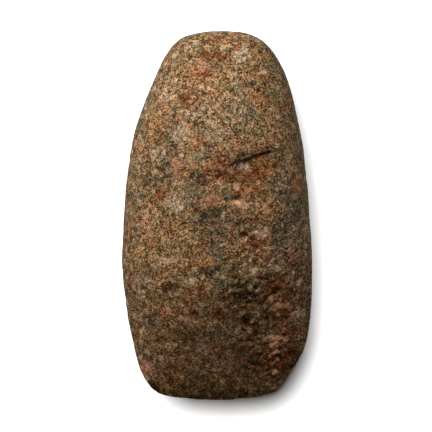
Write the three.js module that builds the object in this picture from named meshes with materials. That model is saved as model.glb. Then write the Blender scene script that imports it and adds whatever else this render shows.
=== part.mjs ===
// A ground and polished stone axe head, lying on its flatter face. Millimetres, +Z up.
// Y runs from the cutting edge (-Y) to the poll (+Y), and X runs across the blade. The origin is on the
// resting surface, under the middle of the head.
import * as THREE from "three";

// Driving dimensions.
const CROWN = 22; // the upper face above the rim, at its highest
const BELLY = 20; // the rim above the resting flat
const RIM_SWAY = 0.6; // how far the rim wanders above and below its own level
const THICKEST = { x: 0, y: 4 }; // where both faces stand furthest from the rim
const CORE = { halfWidth: 35, halfLength: 68 }; // the oval that a face follows near its middle
const FLAT_SHARE = 0.3; // the worn flat underneath, as a share of that oval

// How a face falls from its middle (share 0) to the rim (share 1): (1 - share ^ fullness) ^ sharpness.
// The sides and the poll are rounded over, and the cutting edge is a blunt wedge of about 75 degrees.
const BODY_FALL = { fullness: 2.35, sharpness: 0.5 };
const EDGE_FALL = { fullness: 2.0, sharpness: 0.84 };
const BEVEL_START = -10; // Y where the rounded rim begins to sharpen
const BEVEL_END = -62; // Y where it has become the cutting edge

// How finely the faces are divided.
const AROUND = 108;
const UPPER_RINGS = 24;
const LOWER_RINGS = 14;

// The outline from above, anticlockwise from the lowest point of the cutting edge. The head was shaped by
// hand, so each point is a bulge, a flat or a corner of its own.
const OUTLINE = [
  [3, -69.9],
  [17, -68.6],
  [25.2, -65.4],
  [30.4, -58.4],
  [33.5, -50],
  [35.5, -38],
  [36, -18],
  [35.1, 2],
  [33.4, 20],
  [30.4, 38],
  [26, 53],
  [20.4, 62.8],
  [14, 68],
  [2.5, 69.9],
  [-6, 69.2],
  [-14.2, 66.9],
  [-19.4, 60.8],
  [-25.4, 48],
  [-31.4, 30.5],
  [-34.6, 9.5],
  [-36, -14],
  [-34.7, -34],
  [-31.4, -51.5],
  [-28.2, -61],
  [-23.2, -67.2],
  [-12, -69.5],
];

// Shallow dishes where the stone was pecked or spalled. Each has a middle, a turn in degrees, the reach
// along and across it, and a depth. The first is the flake scar, whose far side is a steep lip instead.
const UPPER_HOLLOWS = [
  { at: [14, 19], turn: 13, along: 15, across: 17, lip: 5, depth: 1.3 },
  { at: [20, -38], turn: 62, along: 20, across: 10, lip: 10, depth: 0.8 },
  { at: [-12, 2], turn: 80, along: 17, across: 8, lip: 8, depth: 0.4 },
  { at: [-4, 52], turn: 10, along: 12, across: 8, lip: 8, depth: 0.5 },
  { at: [-9, -50], turn: -8, along: 16, across: 8, lip: 8, depth: 0.5 },
];
const LOWER_HOLLOWS = [
  { at: [-18, -38], turn: 75, along: 17, across: 10, lip: 10, depth: 0.9 },
  { at: [18, 34], turn: 110, along: 16, across: 10, lip: 6, depth: 0.8 },
  { at: [8, -52], turn: 5, along: 13, across: 8, lip: 8, depth: 0.5 },
];

// How deep one dish is at a point: full at its middle, and run out to nothing at its reach.
function dishDepth({ at, turn, along, across, lip, depth }, x, y) {
  const angle = THREE.MathUtils.degToRad(turn);
  const offsetX = x - at[0];
  const offsetY = y - at[1];
  const lengthwise = (offsetX * Math.cos(angle) + offsetY * Math.sin(angle)) / along;
  const sideways = offsetY * Math.cos(angle) - offsetX * Math.sin(angle);
  const crosswise = sideways / (sideways > 0 ? lip : across);
  return depth * THREE.MathUtils.smoothstep(1 - lengthwise ** 2 - crosswise ** 2, 0, 1);
}

// The depth of all the dishes of one face at a point.
function hollowDepth(hollows, x, y) {
  return hollows.reduce((sum, hollow) => sum + dishDepth(hollow, x, y), 0);
}

// How much of a face's height is left at a share of the way out, where the face becomes a wedge along Y.
function fallAt(share, y) {
  const wedge = THREE.MathUtils.smoothstep(-y, -BEVEL_START, -BEVEL_END);
  const fullness = THREE.MathUtils.lerp(BODY_FALL.fullness, EDGE_FALL.fullness, wedge);
  const sharpness = THREE.MathUtils.lerp(BODY_FALL.sharpness, EDGE_FALL.sharpness, wedge);
  return (1 - share ** fullness) ** sharpness;
}

// The rim: the outline, at a height that wanders a little as it goes round.
function rimPoints() {
  const corners = OUTLINE.map(([x, y]) => new THREE.Vector3(x, y, 0));
  const curve = new THREE.CatmullRomCurve3(corners, true, "centripetal");
  const points = curve.getSpacedPoints(AROUND).slice(0, AROUND);
  for (const point of points) {
    const bearing = Math.atan2(point.y, point.x);
    point.z = BELLY + RIM_SWAY * Math.sin(3 * bearing + 1);
  }
  return points;
}

// A point at a share of the way out to a point of the rim. The middle of a face is an oval, and it takes on
// the shape of the outline as it spreads, so no ridge runs from the middle to a corner.
function placeAt(edge, share) {
  const outer = new THREE.Vector2(edge.x - THICKEST.x, edge.y - THICKEST.y);
  const bearing = Math.atan2(outer.y / CORE.halfLength, outer.x / CORE.halfWidth);
  const oval = new THREE.Vector2(CORE.halfWidth * Math.cos(bearing), CORE.halfLength * Math.sin(bearing));
  const place = oval.lerp(outer, share ** 2).multiplyScalar(share);
  return place.add(THICKEST);
}

// Rings of points from a face's middle out to just short of the rim. The rings crowd together towards the
// rim, where the face turns over. The innermost share is where the first ring lies.
function faceRings(rim, ringCount, innermost, heightAt) {
  const rings = [];
  for (let ring = innermost > 0 ? 0 : 1; ring < ringCount; ring += 1) {
    const outward = Math.sin((Math.PI / 2) * (ring / ringCount));
    const share = innermost + (1 - innermost) * outward;
    const points = rim.map((edge) => {
      const { x, y } = placeAt(edge, share);
      return new THREE.Vector3(x, y, heightAt(x, y, outward, edge));
    });
    rings.push(points);
  }
  return rings;
}

// The height of the upper face.
function upperHeight(x, y, outward, edge) {
  const top = BELLY + CROWN;
  const height = edge.z + (top - edge.z) * fallAt(outward, y);
  return height - hollowDepth(UPPER_HOLLOWS, x, y);
}

// The height of the lower face, which is level over the worn flat.
function lowerHeight(x, y, outward, edge) {
  const height = edge.z * (1 - fallAt(outward, y));
  const clearOfFlat = THREE.MathUtils.smoothstep(outward, 0, 0.3);
  return height + clearOfFlat * hollowDepth(LOWER_HOLLOWS, x, y);
}

// One closed surface: the upper face's middle and rings, the rim, and the lower face's rings and middle.
function makeHead() {
  const rim = rimPoints();
  const upperRings = faceRings(rim, UPPER_RINGS, 0, upperHeight);
  const lowerRings = faceRings(rim, LOWER_RINGS, FLAT_SHARE, lowerHeight);
  const rings = [...upperRings, rim, ...lowerRings.reverse()];
  const crownHeight = BELLY + CROWN - hollowDepth(UPPER_HOLLOWS, THICKEST.x, THICKEST.y);
  const crown = new THREE.Vector3(THICKEST.x, THICKEST.y, crownHeight);
  const sole = new THREE.Vector3(THICKEST.x, THICKEST.y, 0);
  const points = [crown, ...rings.flat(), sole];

  const triangles = [];
  const at = (ring, step) => 1 + ring * AROUND + (step % AROUND);
  for (let step = 0; step < AROUND; step += 1) {
    triangles.push(0, at(0, step), at(0, step + 1));
    for (let ring = 0; ring + 1 < rings.length; ring += 1) {
      triangles.push(at(ring, step), at(ring + 1, step), at(ring + 1, step + 1));
      triangles.push(at(ring, step), at(ring + 1, step + 1), at(ring, step + 1));
    }
    triangles.push(points.length - 1, at(rings.length - 1, step + 1), at(rings.length - 1, step));
  }

  const geometry = new THREE.BufferGeometry().setFromPoints(points);
  geometry.setIndex(triangles);
  geometry.computeBoundingBox();
  const middle = geometry.boundingBox.getCenter(new THREE.Vector3());
  geometry.translate(-middle.x, -middle.y, -geometry.boundingBox.min.z);
  geometry.computeVertexNormals();
  return geometry;
}

const groundStone = new THREE.MeshStandardMaterial({ color: "#7a5f42", roughness: 0.62, metalness: 0 });
const axeHead = new THREE.Mesh(makeHead(), groundStone);
axeHead.name = "axe_head";

const polishedStoneAxe = new THREE.Group();
polishedStoneAxe.add(axeHead);

export default polishedStoneAxe;
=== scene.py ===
"""Dresses the ground stone axe head: its relief, its rock and its stains, on a white table.

Lengths are in millimetres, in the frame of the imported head, unless a name says otherwise. Blender's own
units are metres.
"""

import logging
import math
from dataclasses import dataclass
from enum import Enum

import bmesh
import bpy
import numpy as np
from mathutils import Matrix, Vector, noise


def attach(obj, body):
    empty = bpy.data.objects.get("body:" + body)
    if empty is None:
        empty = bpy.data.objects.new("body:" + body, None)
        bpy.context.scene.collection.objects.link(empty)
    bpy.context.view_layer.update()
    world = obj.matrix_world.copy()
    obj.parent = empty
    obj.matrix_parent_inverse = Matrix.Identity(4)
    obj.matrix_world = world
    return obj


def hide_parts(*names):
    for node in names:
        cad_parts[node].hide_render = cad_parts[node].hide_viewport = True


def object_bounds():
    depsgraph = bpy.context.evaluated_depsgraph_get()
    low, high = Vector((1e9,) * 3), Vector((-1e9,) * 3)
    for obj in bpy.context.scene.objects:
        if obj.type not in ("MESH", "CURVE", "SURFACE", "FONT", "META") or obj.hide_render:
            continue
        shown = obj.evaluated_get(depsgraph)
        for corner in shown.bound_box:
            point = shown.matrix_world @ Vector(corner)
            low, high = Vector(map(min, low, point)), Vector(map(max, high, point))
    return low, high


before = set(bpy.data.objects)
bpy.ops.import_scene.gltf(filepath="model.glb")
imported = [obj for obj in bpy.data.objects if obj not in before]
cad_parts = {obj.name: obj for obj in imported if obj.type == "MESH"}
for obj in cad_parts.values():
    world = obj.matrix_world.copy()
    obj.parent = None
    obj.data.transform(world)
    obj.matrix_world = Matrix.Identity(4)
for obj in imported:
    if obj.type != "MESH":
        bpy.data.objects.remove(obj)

log = logging.getLogger("stone_axe")

MM = 0.001  # one millimetre in Blender's metres
CAD_LOW, CAD_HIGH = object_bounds()
NODE = "axe_head"
SEED = 2470


def linear(hex_colour: str) -> tuple[float, float, float, float]:
    """Turns an sRGB colour into linear light.

    Args:
        hex_colour: The colour as "#rrggbb".

    Returns:
        Red, green, blue and an alpha of 1.
    """
    channels = [int(hex_colour[start:start + 2], 16) / 255 for start in (1, 3, 5)]
    red, green, blue = (c / 12.92 if c <= 0.04045 else ((c + 0.055) / 1.055) ** 2.4 for c in channels)
    return red, green, blue, 1.0


def add_node(tree: bpy.types.NodeTree, kind: str, inputs: dict | None = None, **settings) -> bpy.types.Node:
    """Adds a shader node with its settings and links.

    Args:
        tree: The node tree that it goes into.
        kind: The node's type name.
        inputs: For each input, by name or number, a value or the output socket to link to it.
        **settings: Attributes of the node itself.

    Returns:
        The new node.
    """
    node = tree.nodes.new(kind)
    for name, value in settings.items():
        setattr(node, name, value)
    for name, value in (inputs or {}).items():
        if isinstance(value, bpy.types.NodeSocket):
            tree.links.new(value, node.inputs[name])
        else:
            node.inputs[name].default_value = value
    return node


def set_stops(ramp: bpy.types.Node, stops: list[tuple[float, str]], interpolation: str) -> None:
    """Gives a colour ramp its colours.

    Args:
        ramp: The colour ramp node.
        stops: Each stop's place from 0 to 1, with its colour as sRGB hex.
        interpolation: How the ramp goes from one stop to the next.
    """
    elements = ramp.color_ramp.elements
    ramp.color_ramp.interpolation = interpolation
    while len(elements) < len(stops):
        elements.new(1.0)
    for element, (place, colour) in zip(elements, stops):
        element.position = place
        element.color = linear(colour)


def eased(values: np.ndarray) -> np.ndarray:
    """Returns the values held between 0 and 1 and eased at both ends."""
    held = np.clip(values, 0.0, 1.0)
    return held * held * (3.0 - 2.0 * held)


def fractal(points: np.ndarray, size: float, octaves: int, place: float) -> np.ndarray:
    """Samples smooth noise at points.

    Args:
        points: The points, one row each.
        size: How large one swell of the noise is.
        octaves: How many finer layers it has.
        place: Where in the noise the sample starts, so that two fields differ.

    Returns:
        One value from about -1 to 1 for each point.
    """
    shifted = points / size + place
    return np.array([noise.fractal(Vector(point), 1.0, 2.0, octaves) for point in shifted])


class Tint(Enum):
    """The colours of single crystals and stains in the rock, and of the shade and shadow painted onto it."""

    FELDSPAR = "#e2c29b"
    PINK = "#df9f76"
    OCHRE = "#cf985d"
    RUST = "#a25c30"
    OLIVE = "#857c62"
    # dark crystals, and the painted shadow along the lips
    HORNBLENDE_AND_PAINTED_SHADOW = "#2e2010"
    BROWN_TOWARDS_EDGE = "#8f6238"
    PEACH = "#eeb688"
    SAND = "#dcc6a2"
    UMBER = "#6e5f48"
    # painted shade on the steep sides
    PAINTED_SIDE_SHADE = "#7d735d"


# Crystals and stains on the upper face, from the poll to the cutting edge. Each is a place (x, y), a
# half-length, a half-width and a turn in degrees.
PATCHES: dict[Tint, tuple[tuple[float, float, float, float, float], ...]] = {
    Tint.SAND: (
        (3.0, 37.0, 13.0, 8.0, 0),
        (27.0, -7.0, 12.0, 4.0, 88),
        (2.0, -44.0, 9.0, 5.0, 0),
    ),
    Tint.UMBER: (
        (0.0, -2.0, 11.0, 8.0, 0),
        (-6.0, 13.0, 8.0, 4.0, 10),
        (10.0, 16.0, 8.0, 6.0, 20),
        (14.0, -27.0, 12.0, 7.0, 20),
        (-26.0, -58.0, 9.0, 6.0, 60),
        (-20.5, 21.0, 7.0, 17.0, -15),
    ),
    Tint.OLIVE: (
        (12.9, 49.3, 5.5, 2.0, -5),
        (13.6, 37.7, 2.8, 2.0, -40),
        (-5.5, 23.5, 5.0, 3.2, 35),
        (-8.5, 8.0, 5.0, 3.4, 40),
        (-4.2, -0.8, 4.0, 3.0, 0),
        (0.5, -11.0, 9.0, 4.0, 85),
        (1.5, -24.0, 8.0, 4.0, 80),
        (3.4, 7.9, 2.4, 2.0, 0),
        (25.0, 13.0, 7.5, 4.5, 80),
        (27.5, 0.0, 9.0, 4.0, 88),
        (25.3, -8.0, 5.0, 4.5, 60),
        (-25.0, -39.5, 5.0, 3.4, 40),
        (25.3, -36.5, 4.0, 2.6, 20),
        (17.0, -33.5, 3.0, 2.4, 0),
    ),
    # Dark crystals; those at (-9.0, 14.5), (10.9, -40.4), (28.4, -54.6) and (15.0, -54.0) lie over pits and darken
    # them.
    Tint.HORNBLENDE_AND_PAINTED_SHADOW: (
        (-9.0, 14.5, 1.8, 1.0, -20),
        (-2.0, 1.5, 4.2, 3.0, 10),
        (-3.0, -20.5, 4.0, 2.8, 20),
        (-16.9, -26.6, 4.0, 1.8, 0),
        (-28.5, -26.8, 2.2, 1.5, -30),
        (10.8, -29.5, 5.0, 2.6, 10),
        (-7.3, -37.5, 4.6, 1.8, 5),
        (10.9, -40.4, 2.0, 1.4, 0),
        (28.4, -54.6, 5.0, 2.8, 40),
        (-24.0, -64.5, 5.5, 2.2, -40),
        (15.0, -54.0, 5.0, 2.2, 30),
    ),
    Tint.RUST: (
        (1.0, 66.6, 5.6, 2.4, 0),
        (6.0, 64.4, 3.2, 1.8, -35),
        (13.8, 64.0, 1.5, 1.3, 0),
        (-1.4, 59.3, 5.6, 2.8, -5),
        (-5.0, 53.0, 2.8, 2.4, 60),
        (-12.3, 44.2, 3.6, 2.6, 80),
        (-9.0, 40.0, 3.4, 2.2, 0),
        (-28.5, 14.2, 1.5, 1.2, 0),
        (-19.8, 7.0, 4.2, 2.6, 0),
        (1.0, 17.0, 6.0, 4.5, 10),
        (15.0, 17.5, 8.0, 3.8, 10),
        (14.5, -9.5, 5.0, 3.0, 0),
        (14.3, -2.0, 2.5, 2.0, 0),
        (-30.5, -43.5, 4.0, 1.8, 80),
        (0.6, -36.3, 4.2, 2.8, 0),
        (20.0, -28.0, 7.5, 3.5, 40),
        (12.2, -43.0, 2.4, 2.2, 0),
        (21.2, -58.9, 4.8, 3.4, 30),
        (26.0, -47.0, 5.5, 3.0, 60),
        (25.0, -35.5, 6.5, 5.0, 70),
        (24.0, -56.0, 7.0, 4.5, 40),
        (12.0, 12.0, 7.0, 5.0, 20),
    ),
    Tint.OCHRE: (
        (-24.0, 34.5, 3.4, 2.8, 0),
        (16.0, 51.4, 2.8, 2.2, 40),
        (15.1, 19.8, 2.8, 1.8, 70),
        (-28.8, -12.6, 1.9, 1.6, 0),
        (19.6, 2.2, 4.2, 3.0, 40),
        (-3.4, -17.4, 3.2, 2.2, 0),
        (-9.4, -30.5, 2.6, 1.6, 0),
        (-2.3, -47.6, 2.0, 1.5, 0),
        (1.4, -49.8, 3.4, 2.6, 0),
        (-17.8, -61.6, 4.4, 3.0, 10),
        (12.5, -64.3, 3.8, 1.6, 0),
    ),
    Tint.PINK: (
        (-5.3, 55.0, 2.6, 2.1, 0),
        (-30.7, 26.3, 1.9, 1.5, 0),
        (-13.3, 18.6, 4.6, 2.2, 0),
        (7.3, 10.6, 1.9, 1.6, 70),
        (9.0, 3.8, 3.4, 2.2, -10),
        (-1.5, 5.0, 4.0, 2.4, 0),
        (30.9, 10.9, 2.2, 1.5, 80),
        (-28.0, -1.7, 3.4, 1.6, 100),
        (-24.6, -4.4, 2.6, 2.0, 60),
        (17.8, -13.8, 2.9, 2.2, 0),
        (-9.3, -39.9, 4.2, 2.2, 10),
        (20.2, -30.9, 2.1, 1.7, 0),
        (22.9, -33.9, 2.8, 2.6, 0),
        (26.1, -34.0, 2.0, 1.7, 0),
        (22.1, -47.0, 3.6, 3.0, 80),
        (-27.1, -58.2, 4.0, 3.0, 100),
    ),
    Tint.PEACH: (
        (7.3, 10.6, 1.5, 1.3, 70),
        (9.0, 3.8, 2.2, 1.5, -15),
        (10.9, 18.1, 1.3, 1.1, 0),
        (18.9, 1.4, 1.6, 1.2, 30),
        (17.0, -6.8, 1.5, 1.2, 0),
        (23.0, -33.8, 1.5, 1.4, 0),
        (20.1, -30.9, 1.3, 1.1, 0),
        (26.1, -34.0, 1.1, 1.0, 0),
        (22.1, -47.0, 1.9, 1.5, 80),
        (30.5, -37.5, 1.5, 1.3, 40),
        (-28.8, -12.6, 1.2, 1.0, 0),
        (-20.0, 42.5, 1.5, 1.2, 80),
        (-9.6, -25.3, 1.3, 1.1, 0),
        (12.2, -43.2, 1.2, 1.1, 0),
        (21.5, -59.0, 1.4, 1.2, 0),
    ),
    Tint.FELDSPAR: (
        (9.0, 59.4, 3.2, 2.6, 0),
        (9.3, 47.3, 3.2, 2.0, 0),
        (-19.0, 45.6, 4.2, 3.2, 80),
        (-8.5, 38.6, 4.0, 1.8, 0),
        (-13.5, 30.4, 4.0, 3.2, 20),
        (-23.5, 22.4, 2.8, 2.4, 0),
        (-20.4, 22.6, 2.0, 1.8, 0),
        (10.6, 18.1, 2.6, 2.2, 0),
        (-15.0, 4.4, 5.2, 4.0, 90),
        (16.8, -6.3, 3.0, 2.4, 0),
        (-16.9, -16.5, 3.2, 1.3, 0),
        (18.8, -19.6, 4.4, 2.2, 0),
        (13.0, -19.8, 2.4, 1.7, 0),
        (-9.9, -25.1, 2.6, 2.0, 0),
        (-28.3, -23.7, 3.2, 2.8, 0),
        (-28.8, -29.7, 3.0, 2.4, 80),
        (30.3, -37.7, 3.4, 2.8, 40),
        (-4.9, -50.0, 3.0, 2.4, 0),
    ),
}


# How strongly each tint covers the rock.
STRENGTH = {
    Tint.FELDSPAR: 0.6,
    Tint.PINK: 0.65,
    Tint.OCHRE: 0.6,
    Tint.RUST: 0.6,
    Tint.OLIVE: 0.55,
    Tint.HORNBLENDE_AND_PAINTED_SHADOW: 0.6,
    Tint.BROWN_TOWARDS_EDGE: 0.5,
    Tint.PEACH: 1.0,
    Tint.SAND: 0.25,
    Tint.UMBER: 0.5,
    Tint.PAINTED_SIDE_SHADE: 0.6,
}


# How free of speckle the crystals of a tint are.
CLEANNESS = {Tint.PEACH: 0.8, Tint.FELDSPAR: 0.35, Tint.PINK: 0.35}


@dataclass(frozen=True)
class Lip:
    """A snapped edge: the stone drops along a line, and rises again on the line's right-hand side. A painted shadow
    darkens the wall of the drop.
    """

    line: tuple[tuple[float, float], ...]
    drop: float
    run: float
    painted_shadow: float  # how dark the painted shadow along the wall is, from 0 to 1

    def depth(self, across: np.ndarray, along: np.ndarray) -> np.ndarray:
        """Works out how deep the drop is.

        Args:
            across: Each point's distance from the line, positive on its right-hand side.
            along: Each point's place along the line, from 0 to 1.

        Returns:
            The depth at each point.
        """
        wall = eased((across + 0.35) / 0.7)
        floor = eased(1.0 - across / self.run)
        ends = eased(along / 0.12) * eased((1.0 - along) / 0.12)
        return self.drop * wall * floor * ends


@dataclass(frozen=True)
class Pit:
    """A small hole where a crystal has fallen out."""

    x: float
    y: float
    radius: float
    depth: float


SCAR_LIP = Lip(
    line=((8.6, 20.0), (11.1, 20.5), (13.0, 21.2), (14.3, 22.3), (17.0, 23.0), (21.0, 23.7)),
    drop=1.1,
    run=7.0,
    painted_shadow=0.75,
)
SCAR_TAIL = Lip(line=((5.2, 18.4), (6.2, 19.4), (7.6, 20.0), (9.2, 20.2)), drop=0.6, run=3.0, painted_shadow=0.6)
LOWER_LIP = Lip(line=((3.0, 6.0), (5.2, 6.2), (7.4, 6.7), (9.2, 7.6)), drop=0.8, run=3.5, painted_shadow=0.6)
RIGHT_LIP = Lip(line=((19.4, -29.9), (21.8, -28.8), (23.8, -27.6)), drop=0.7, run=2.6, painted_shadow=0.6)
CRYSTAL_LIP = Lip(line=((20.4, -44.6), (23.4, -44.8), (26.6, -45.6)), drop=0.5, run=2.4, painted_shadow=0.6)
LIPS = (SCAR_LIP, SCAR_TAIL, LOWER_LIP, RIGHT_LIP, CRYSTAL_LIP)
PITS = (
    Pit(10.9, -40.4, 2.0, 0.9),
    Pit(10.4, -7.9, 1.3, 0.4),
    Pit(25.6, -16.2, 1.5, 0.4),
    Pit(-9.0, 14.6, 1.0, 0.35),
    Pit(28.0, -53.0, 2.4, 0.5),
    Pit(17.0, -53.5, 2.0, 0.5),
    Pit(6.5, -30.5, 1.8, 0.4),
)


@dataclass(frozen=True)
class Granodiorite:
    """Granodiorite: pale feldspar and quartz with dark hornblende and mica, pecked and then ground.

    The grinding leaves the crystals level and dull, so the eye gets a sharp speckle without shine, and the
    iron in it has stained the surface brown.
    """

    crystal: float = 1.7  # how large one crystal is
    large: float = 2.6  # how far apart the large crystals lie
    grain: float = 0.5  # how large one grain of the ground mass is
    dust: float = 0.32  # how large the finest grains are
    cloud: float = 8.0  # how far apart warm and cool areas lie
    base_roughness: float = 0.85
    sheen: float = 0.06  # the weathered surface shines little
    tones: tuple[tuple[float, str], ...] = (
        (0.0, "#1c1005"),
        (0.26, "#533a22"),
        (0.435, "#6d5948"),
        (0.61, "#8c7f76"),
        (0.785, "#b2b0b1"),
        (0.96, "#e3e9f6"),
        (1.0, "#ffffff"),
    )
    minerals: tuple[tuple[float, str], ...] = (
        (0.0, "#b2a78c"),
        (0.25, "#c4ae8a"),
        (0.50, "#ceb18a"),
        (0.75, "#d8b18a"),
        (0.92, "#d2a27c"),
        (1.0, "#f4e0c4"),
    )

    def make(self) -> bpy.types.Material:
        """Returns the rock's material, which reads the head's own stain and rough attributes."""
        material = bpy.data.materials.new("ground_granodiorite")
        material.use_nodes = True
        tree = material.node_tree
        tree.nodes.clear()

        place = add_node(tree, "ShaderNodeTexCoord").outputs["Object"]
        in_mm = add_node(tree, "ShaderNodeVectorMath", {0: place, "Scale": 1 / MM}, operation="SCALE")
        swirl = add_node(
            tree, "ShaderNodeTexNoise", {"Vector": in_mm.outputs[0], "Scale": 1 / 0.9, "Detail": 2.0}
        )
        centred = add_node(
            tree, "ShaderNodeVectorMath", {0: swirl.outputs["Color"], 1: (0.5, 0.5, 0.5)}, operation="SUBTRACT"
        )
        bent = add_node(
            tree,
            "ShaderNodeVectorMath",
            {0: centred.outputs[0], 1: (2.0, 2.0, 2.0), 2: in_mm.outputs[0]},
            operation="MULTIPLY_ADD",
        )

        crystals = add_node(
            tree, "ShaderNodeTexVoronoi", {"Vector": bent.outputs[0], "Scale": 1 / self.crystal}
        )
        pick = add_node(tree, "ShaderNodeSeparateColor", {"Color": crystals.outputs["Color"]})
        mineral = add_node(tree, "ShaderNodeValToRGB", {"Fac": pick.outputs["Red"]})
        set_stops(mineral, list(self.minerals), "LINEAR")
        clouds = add_node(
            tree, "ShaderNodeTexNoise", {"Vector": in_mm.outputs[0], "Scale": 1 / self.cloud, "Detail": 4.0}
        )
        cloud_tint = add_node(tree, "ShaderNodeValToRGB", {"Fac": clouds.outputs["Fac"]})
        set_stops(cloud_tint, [(0.3, "#d0d0b8"), (0.5, "#eae0c8"), (0.7, "#fad4b0")], "LINEAR")
        tinted = add_node(
            tree,
            "ShaderNodeMix",
            {0: 1.0, 6: mineral.outputs["Color"], 7: cloud_tint.outputs["Color"]},
            data_type="RGBA",
            blend_type="MULTIPLY",
        )

        stain = add_node(tree, "ShaderNodeAttribute", attribute_name="stain")
        stain_amount = add_node(tree, "ShaderNodeAttribute", attribute_name="stain_amount")
        nudged = add_node(
            tree,
            "ShaderNodeMath",
            {0: pick.outputs["Green"], 1: 0.7, 2: stain_amount.outputs["Fac"]},
            operation="MULTIPLY_ADD",
        )
        cover = add_node(
            tree,
            "ShaderNodeMapRange",
            {"Value": nudged.outputs[0], "From Min": 0.4, "From Max": 1.3, "To Min": 0.0, "To Max": 1.0},
        )
        stained = add_node(
            tree,
            "ShaderNodeMix",
            {0: cover.outputs["Result"], 6: tinted.outputs[2], 7: stain.outputs["Color"]},
            data_type="RGBA",
        )

        grains = add_node(tree, "ShaderNodeTexVoronoi", {"Vector": in_mm.outputs[0], "Scale": 1 / self.grain})
        grain_pick = add_node(tree, "ShaderNodeSeparateColor", {"Color": grains.outputs["Color"]})
        dust = add_node(tree, "ShaderNodeTexVoronoi", {"Vector": in_mm.outputs[0], "Scale": 1 / self.dust})
        dust_pick = add_node(tree, "ShaderNodeSeparateColor", {"Color": dust.outputs["Color"]})
        flecks = add_node(
            tree,
            "ShaderNodeTexNoise",
            {"Vector": in_mm.outputs[0], "Scale": 1 / 2.0, "Detail": 4.0, "Roughness": 0.8},
        )
        by_grain = add_node(
            tree, "ShaderNodeMath", {0: grain_pick.outputs["Red"], 1: 0.6, 2: -0.4}, operation="MULTIPLY_ADD"
        )
        by_dust = add_node(
            tree,
            "ShaderNodeMath",
            {0: dust_pick.outputs["Red"], 1: 0.5, 2: by_grain.outputs[0]},
            operation="MULTIPLY_ADD",
        )
        shade = add_node(
            tree,
            "ShaderNodeMath",
            {0: flecks.outputs["Fac"], 1: 1.15, 2: by_dust.outputs[0]},
            operation="MULTIPLY_ADD",
        )

        large = add_node(tree, "ShaderNodeTexVoronoi", {"Vector": bent.outputs[0], "Scale": 1 / self.large})
        kind = add_node(tree, "ShaderNodeSeparateColor", {"Color": large.outputs["Color"]})
        within = add_node(
            tree,
            "ShaderNodeMapRange",
            {"Value": large.outputs["Distance"], "From Min": 0.55, "From Max": 0.35, "To Min": 0.0, "To Max": 1.0},
        )
        pale = add_node(
            tree,
            "ShaderNodeMapRange",
            {"Value": kind.outputs["Red"], "From Min": 0.68, "From Max": 0.78, "To Min": 0.0, "To Max": 1.0},
        )
        dark = add_node(
            tree,
            "ShaderNodeMapRange",
            {"Value": kind.outputs["Red"], "From Min": 0.26, "From Max": 0.16, "To Min": 0.0, "To Max": 0.55},
        )
        pale_body = add_node(
            tree, "ShaderNodeMath", {0: within.outputs[0], 1: pale.outputs[0]}, operation="MULTIPLY"
        )
        dark_body = add_node(
            tree, "ShaderNodeMath", {0: within.outputs[0], 1: dark.outputs[0]}, operation="MULTIPLY"
        )
        large_tint = add_node(tree, "ShaderNodeValToRGB", {"Fac": kind.outputs["Green"]})
        set_stops(large_tint, [(0.0, "#e6cda8"), (0.5, "#e2b48a"), (1.0, "#d68e5a")], "LINEAR")
        pale_cover = add_node(tree, "ShaderNodeMath", {0: pale_body.outputs[0], 1: 0.55}, operation="MULTIPLY")
        crystalline = add_node(
            tree,
            "ShaderNodeMix",
            {0: pale_cover.outputs[0], 6: stained.outputs[2], 7: large_tint.outputs["Color"]},
            data_type="RGBA",
        )
        darkened = add_node(
            tree,
            "ShaderNodeMath",
            {0: dark_body.outputs[0], 1: -0.3, 2: shade.outputs[0]},
            operation="MULTIPLY_ADD",
        )
        lightened = add_node(
            tree,
            "ShaderNodeMath",
            {0: pale_body.outputs[0], 1: 0.06, 2: darkened.outputs[0]},
            operation="MULTIPLY_ADD",
        )
        clean = add_node(
            tree, "ShaderNodeMath", {0: stain.outputs["Alpha"], 1: cover.outputs[0]}, operation="MULTIPLY"
        )
        cleaner = add_node(
            tree, "ShaderNodeMath", {0: pale_body.outputs[0], 1: 0.4, 2: clean.outputs[0]}, operation="MULTIPLY_ADD"
        )
        level = add_node(tree, "ShaderNodeMix", {0: cleaner.outputs[0], 2: lightened.outputs[0], 3: 0.84})
        tone = add_node(tree, "ShaderNodeValToRGB", {"Fac": level.outputs[0]})
        set_stops(tone, list(self.tones), "LINEAR")
        speckled = add_node(
            tree,
            "ShaderNodeMix",
            {0: 1.0, 6: crystalline.outputs[2], 7: tone.outputs["Color"]},
            data_type="RGBA",
            blend_type="MULTIPLY",
        )

        rough = add_node(tree, "ShaderNodeAttribute", attribute_name="rough")
        roughness = add_node(
            tree,
            "ShaderNodeMapRange",
            {
                "Value": rough.outputs["Fac"],
                "From Min": 0.0,
                "From Max": 1.0,
                "To Min": self.base_roughness,
                "To Max": 0.88,
            },
        )
        relief = add_node(
            tree, "ShaderNodeBump", {"Height": level.outputs[0], "Strength": 1.0, "Distance": 0.25 * MM}
        )
        surface = add_node(
            tree,
            "ShaderNodeBsdfPrincipled",
            {
                "Base Color": speckled.outputs[2],
                "Roughness": roughness.outputs["Result"],
                "Normal": relief.outputs["Normal"],
                "Specular IOR Level": self.sheen,
            },
        )
        add_node(tree, "ShaderNodeOutputMaterial", {"Surface": surface.outputs[0]})
        return material


@dataclass(frozen=True)
class PaintedBoard:
    """Board painted matt white, which gives an even, glareless ground."""

    colour: str = "#f4f4f4"
    roughness: float = 0.9

    def make(self) -> bpy.types.Material:
        """Returns the board's material."""
        material = bpy.data.materials.new("white_painted_board")
        material.use_nodes = True
        surface = material.node_tree.nodes["Principled BSDF"]
        surface.inputs["Base Color"].default_value = linear(self.colour)
        surface.inputs["Roughness"].default_value = self.roughness
        return material


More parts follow.
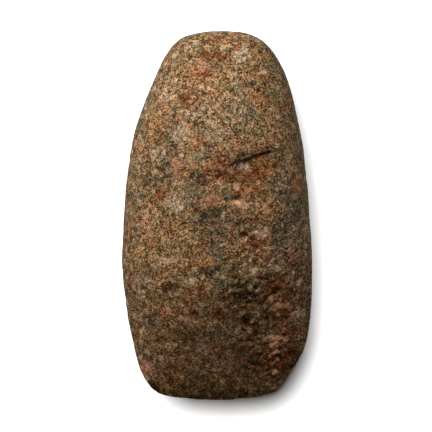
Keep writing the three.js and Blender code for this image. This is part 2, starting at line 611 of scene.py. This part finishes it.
@dataclass
class AxeHead:
    """The stone head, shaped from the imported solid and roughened, chipped and stained."""

    voxel: float = 0.58  # how fine the surface mesh is
    wave_height: float = 0.3  # swells that grinding by hand leaves
    wave_size: float = 15.0
    peck_depth: float = 0.16  # what is left of the pecked dimples
    peck_size: float = 3.0
    crevice_depth: float = 0.45  # the cracks between the crystals that stand proud on the rough side
    grit_height: float = 0.06  # single crystals standing proud
    grit_size: float = 1.2
    streak_height: float = 0.35  # the torn stone of the rough side
    inward: float = 0.1  # how far the whole surface sits inside the solid, so that nothing stands out of it

    def build(self) -> bpy.types.Object:
        """Shapes the head.

        Returns:
            The head as a piece of its own.
        """
        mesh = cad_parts[NODE].data.copy()
        mesh.materials.clear()
        self.weld(mesh)
        head = bpy.data.objects.new("stone_axe_head", mesh)
        bpy.context.scene.collection.objects.link(head)
        self.refine(head)
        self.carve(head.data)
        head.data.shade_smooth()
        return head

    def weld(self, mesh: bpy.types.Mesh) -> None:
        """Joins the solid's loose facets into one skin of four-sided faces."""
        skin = bmesh.new()
        skin.from_mesh(mesh)
        bmesh.ops.remove_doubles(skin, verts=skin.verts, dist=0.001 * MM)
        bmesh.ops.join_triangles(
            skin, faces=skin.faces, angle_face_threshold=math.pi, angle_shape_threshold=math.pi
        )
        skin.to_mesh(mesh)
        skin.free()

    def refine(self, head: bpy.types.Object) -> None:
        """Smooths the facets away and lays an even mesh over the head."""
        smooth = head.modifiers.new("smooth", "SUBSURF")
        smooth.levels = 2
        smooth.render_levels = 2
        even = head.modifiers.new("even", "REMESH")
        even.mode = "VOXEL"
        even.voxel_size = self.voxel * MM
        depsgraph = bpy.context.evaluated_depsgraph_get()
        fine = bpy.data.meshes.new_from_object(head.evaluated_get(depsgraph))
        head.modifiers.clear()
        head.data = fine
        head.data.name = head.name

    def carve(self, mesh: bpy.types.Mesh) -> None:
        """Gives the mesh its relief, and stores where it is rough and stained."""
        count = len(mesh.vertices)
        points = np.empty(count * 3, np.float32)
        normals = np.empty(count * 3, np.float32)
        mesh.vertices.foreach_get("co", points)
        mesh.vertex_normals.foreach_get("vector", normals)
        points = self.fit_to_solid(points.reshape(-1, 3).astype(float) / MM)
        normals = normals.reshape(-1, 3).astype(float)
        upper = eased((points[:, 2] - 14.0) / 8.0)

        rough = self.roughness(points, upper)
        height = self.relief(points, rough) - self.inward
        height -= upper * self.scars(points)
        height -= 1.4 * eased(1.0 - np.hypot(points[:, 0] - 31.5, points[:, 1] + 61.0) / 13.0)
        moved = points + normals * height[:, None]
        moved = np.clip(moved, np.array(CAD_LOW) / MM, np.array(CAD_HIGH) / MM)
        mesh.vertices.foreach_set("co", (moved * MM).astype(np.float32).ravel())
        mesh.update()

        colours, amount = self.stains(points, normals, upper)
        stain = mesh.attributes.new("stain", "FLOAT_COLOR", "POINT")
        stain.data.foreach_set("color", colours.astype(np.float32).ravel())
        stain_amount = mesh.attributes.new("stain_amount", "FLOAT", "POINT")
        stain_amount.data.foreach_set("value", amount.astype(np.float32))
        roughened = mesh.attributes.new("rough", "FLOAT", "POINT")
        roughened.data.foreach_set("value", rough.astype(np.float32))

    def fit_to_solid(self, points: np.ndarray) -> np.ndarray:
        """Returns the points stretched back to the solid's own box, which smoothing shrank a little."""
        low, high = np.array(CAD_LOW) / MM, np.array(CAD_HIGH) / MM
        share = (points - points.min(axis=0)) / np.ptp(points, axis=0)
        return low + share * (high - low)

    def roughness(self, points: np.ndarray, upper: np.ndarray) -> np.ndarray:
        """Finds where the stone is torn instead of ground.

        Args:
            points: The mesh's points.
            upper: How much each point belongs to the upper face, from 0 to 1.

        Returns:
            How rough each point is, from 0 to 1.
        """
        reach = ((points[:, 0] - 19.0) / 17.0) ** 2 + ((points[:, 1] + 28.0) / 44.0) ** 2
        edge = 0.4 * fractal(points, 14.0, 3, 3.0)
        return upper * eased(1.35 - reach + edge)

    def relief(self, points: np.ndarray, rough: np.ndarray) -> np.ndarray:
        """Works out the even relief of the whole surface.

        Args:
            points: The mesh's points.
            rough: How rough each point is, from 0 to 1.

        Returns:
            The height at each point.
        """
        waves = self.wave_height * fractal(points, self.wave_size, 3, 0.0)
        cells = np.array([noise.voronoi(Vector(point))[0][:2] for point in points / self.peck_size])
        dimples = np.minimum(cells[:, 0] / 0.6, 1.0) - 1.0
        crevices = np.minimum((cells[:, 1] - cells[:, 0]) / 0.3, 1.0) - 1.0
        pecks = self.peck_depth * (1.0 - rough) * dimples + self.crevice_depth * rough * crevices
        grit = self.grit_height * (1.0 + 1.5 * rough) * fractal(points, self.grit_size, 2, 11.0)
        turned = points @ np.array([[0.77, -0.64, 0.0], [0.64, 0.77, 0.0], [0.0, 0.0, 1.0]])
        torn = fractal(turned / np.array([3.2, 1.0, 1.4]), 1.7, 3, 5.0)
        return waves + pecks + grit + self.streak_height * rough * torn

    def scars(self, points: np.ndarray) -> np.ndarray:
        """Works out how deep the lips and pits of the upper face are.

        Args:
            points: The mesh's points.

        Returns:
            The depth at each point.
        """
        depth = np.zeros(len(points))
        wobble = 0.35 * fractal(points, 1.6, 2, 21.0)
        for lip in LIPS:
            across, along = self.along_line(points[:, :2], lip.line)
            depth += lip.depth(across + wobble, along)
        for pit in PITS:
            reach = np.hypot(points[:, 0] - pit.x, points[:, 1] - pit.y) + wobble
            depth += pit.depth * eased(1.25 - reach / pit.radius)
        return depth

    def along_line(
        self, points: np.ndarray, line: tuple[tuple[float, float], ...]
    ) -> tuple[np.ndarray, np.ndarray]:
        """Measures points against a bent line.

        Args:
            points: The points, as x and y.
            line: The line's corners.

        Returns:
            Each point's distance from the line, positive on its right-hand side, and its place along the
            line from 0 to 1.
        """
        corners = np.array(line)
        steps = np.linalg.norm(np.diff(corners, axis=0), axis=1)
        starts = np.concatenate([[0.0], np.cumsum(steps)])
        nearest = np.full(len(points), np.inf)
        across = np.zeros(len(points))
        along = np.zeros(len(points))
        for start, end, length, before in zip(corners, corners[1:], steps, starts):
            direction = (end - start) / length
            offset = points - start
            ahead = np.clip(offset @ direction, 0.0, length)
            gap = offset - ahead[:, None] * direction
            distance = np.hypot(gap[:, 0], gap[:, 1])
            right = offset[:, 0] * direction[1] - offset[:, 1] * direction[0]
            closer = distance < nearest
            nearest = np.where(closer, distance, nearest)
            across = np.where(closer, np.sign(right) * distance, across)
            along = np.where(closer, (before + ahead) / starts[-1], along)
        return across, along

    def stains(
        self, points: np.ndarray, normals: np.ndarray, upper: np.ndarray
    ) -> tuple[np.ndarray, np.ndarray]:
        """Lays the crystals and stains over the rock.

        Args:
            points: The mesh's points.
            normals: Which way the surface faces at each point.
            upper: How much each point belongs to the upper face, from 0 to 1.

        Returns:
            Each point's stain colour, and how much of it there is, from 0 to 1.
        """
        colour = np.tile(np.array((*linear(Tint.OCHRE.value)[:3], 0.0)), (len(points), 1))
        amount = np.zeros(len(points))
        ragged = 0.5 * fractal(points, 2.2, 4, 31.0)

        def lay(tint: Tint, reach: np.ndarray, strength: np.ndarray | float) -> None:
            """Lays one patch over what is there."""
            nonlocal colour, amount
            cover = strength * eased((1.25 - reach - ragged) / 0.6)
            together = 1.0 - (1.0 - amount) * (1.0 - cover)
            share = cover / np.maximum(together, 1e-6)
            laid = np.array((*linear(tint.value)[:3], CLEANNESS.get(tint, 0.0)))
            colour = colour + (laid - colour) * share[:, None]
            amount = together

        # Browner and darker towards the cutting edge.
        lay(Tint.BROWN_TOWARDS_EDGE, (points[:, 1] + 75.0) / 60.0, STRENGTH[Tint.BROWN_TOWARDS_EDGE])
        for tint, patches in PATCHES.items():
            for x, y, half_length, half_width, turn in patches:
                angle = math.radians(turn)
                right = points[:, 0] - x
                up = points[:, 1] - y
                lengthwise = (right * math.cos(angle) + up * math.sin(angle)) / half_length
                crosswise = (up * math.cos(angle) - right * math.sin(angle)) / half_width
                lay(tint, np.hypot(lengthwise, crosswise), STRENGTH[tint] * upper)

        # Painted shadow: a dark band along each lip's wall, where the drop lies in shade.
        for lip in LIPS:
            across, along = self.along_line(points[:, :2], lip.line)
            outside = 6.0 * (np.abs(along - 0.5) > 0.49)
            lay(Tint.HORNBLENDE_AND_PAINTED_SHADOW, np.abs(across - 0.1 + 1.2 * ragged) / 0.45 + outside, lip.painted_shadow * upper)

        # Painted shade: a greyish brown where the surface faces sideways, so the steep sides read darker than the
        # faces.
        lay(Tint.PAINTED_SIDE_SHADE, 0.4 + np.abs(normals[:, 2]), STRENGTH[Tint.PAINTED_SIDE_SHADE])

        dice = np.random.default_rng(SEED)
        tints = [Tint.FELDSPAR, Tint.PINK, Tint.OCHRE, Tint.RUST, Tint.OLIVE, Tint.HORNBLENDE_AND_PAINTED_SHADOW]
        for _ in range(260):
            centre = points[dice.integers(len(points))]
            stretch = dice.uniform(0.6, 1.6, 3)
            radius = dice.uniform(1.0, 3.4)
            tint = tints[dice.integers(len(tints))]
            reach = np.linalg.norm((points - centre) * stretch, axis=1) / radius
            lay(tint, reach, STRENGTH[tint] * (1.0 - 0.75 * upper))
        return colour, amount

    def dress(self, head: bpy.types.Object, finish: Granodiorite) -> None:
        """Gives the head its rock, and its place in the frame."""
        head.data.materials.clear()
        head.data.materials.append(finish.make())
        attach(head, "root")
        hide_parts(NODE)


@dataclass
class Studio:
    """The white table, the lights and the camera above."""

    table_size: float = 4000.0
    view_width: float = 163.5  # how much of the table the picture takes in, at the height of the rim
    rim_height: float = 20.0
    camera_height: float = 1200.0
    aim: tuple[float, float] = (-0.4, -0.4)
    sensor: float = 36.0

    def build(self, finish: PaintedBoard) -> None:
        """Sets up the table, the lights and the camera."""
        table = self.lay_table(finish)
        self.light_table(table)
        self.light_stone()
        self.set_camera()

    def lay_table(self, finish: PaintedBoard) -> bpy.types.Object:
        """Returns the table top, just under the head."""
        half = self.table_size / 2 * MM
        mesh = bpy.data.meshes.new("table")
        corners = [(-half, -half, 0), (half, -half, 0), (half, half, 0), (-half, half, 0)]
        mesh.from_pydata(corners, [], [(0, 1, 2, 3)])
        mesh.materials.append(finish.make())
        table = bpy.data.objects.new("table", mesh)
        bpy.context.scene.collection.objects.link(table)
        table.visible_diffuse = False
        return table

    def add_softbox(
        self, name: str, size: float, watts: float, place: tuple[float, float, float], only: list[bpy.types.Object]
    ) -> bpy.types.Object:
        """Adds a square softbox that points at the head.

        Args:
            name: The light's name.
            size: The length of its sides.
            watts: Its power.
            place: Where it stands.
            only: The objects that it lights.

        Returns:
            The light.
        """
        lamp = bpy.data.lights.new(name, "AREA")
        lamp.shape = "SQUARE"
        lamp.size = size * MM
        lamp.energy = watts
        return self.place_light(name, lamp, place, only)

    def place_light(
        self, name: str, lamp: bpy.types.Light, place: tuple[float, float, float], only: list[bpy.types.Object]
    ) -> bpy.types.Object:
        """Puts a light in the scene, turned towards the head.

        Args:
            name: The light's name.
            lamp: The lamp itself.
            place: Where it stands.
            only: The objects that it lights.

        Returns:
            The light.
        """
        light = bpy.data.objects.new(name, lamp)
        light.location = Vector(place) * MM
        light.rotation_mode = "QUATERNION"
        light.rotation_quaternion = (-light.location).to_track_quat("-Z", "Y")
        bpy.context.scene.collection.objects.link(light)
        lit = bpy.data.collections.new(name + "_lights")
        for piece in only:
            lit.objects.link(piece)
        light.light_linking.receiver_collection = lit
        light.visible_camera = False
        return light

    def light_table(self, table: bpy.types.Object) -> None:
        """Floods the table from high on the upper left, so that the head's shadow is short and soft."""
        flood = bpy.data.lights.new("table_flood", "SUN")
        flood.energy = 7.7
        flood.angle = math.radians(48.0)
        self.place_light("table_flood", flood, (-285.0, 470.0, 1100.0), [table])

    def light_stone(self) -> None:
        """Lights the head from the upper left, low enough to bring out its relief."""
        head = [bpy.data.objects["stone_axe_head"]]
        self.add_softbox("key_softbox", 400.0, 16.0, (-710.0, 790.0, 430.0), head)
        self.add_softbox("fill_softbox", 400.0, 9.5, (120.0, 845.0, 770.0), head)
        self.add_softbox("ceiling", 2400.0, 6.0, (0.0, 0.0, 1800.0), head)
        below = self.add_softbox("glow_from_the_table", 1600.0, 8.0, (0.0, -200.0, -700.0), head)
        blockers = bpy.data.collections.new("glow_blockers")
        blockers.objects.link(head[0])
        below.light_linking.blocker_collection = blockers

        world = bpy.data.worlds.new("room")
        bpy.context.scene.world = world
        world.use_nodes = True
        world.node_tree.nodes["Background"].inputs["Color"].default_value = linear("#f6f6f6")
        world.cycles_visibility.diffuse = False
        world.cycles_visibility.glossy = False

    def set_camera(self) -> None:
        """Hangs a long lens straight above the head, with the poll at the top of the picture."""
        lens = bpy.data.cameras.new("camera")
        lens.sensor_width = self.sensor
        lens.lens = self.sensor * (self.camera_height - self.rim_height) / self.view_width
        lens.clip_end = 10.0
        camera = bpy.data.objects.new("camera", lens)
        camera.location = Vector((*self.aim, self.camera_height)) * MM
        bpy.context.scene.collection.objects.link(camera)
        bpy.context.scene.camera = camera
        bpy.context.scene.view_settings.view_transform = "Standard"


def main() -> None:
    """Builds and dresses the head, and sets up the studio."""
    logging.basicConfig(level=logging.INFO)
    axe = AxeHead()
    head = axe.build()
    axe.dress(head, Granodiorite())
    log.info("%s: %d points", head.name, len(head.data.vertices))
    Studio().build(PaintedBoard())
    log.info("studio ready")


if __name__ == "__main__":
    main()
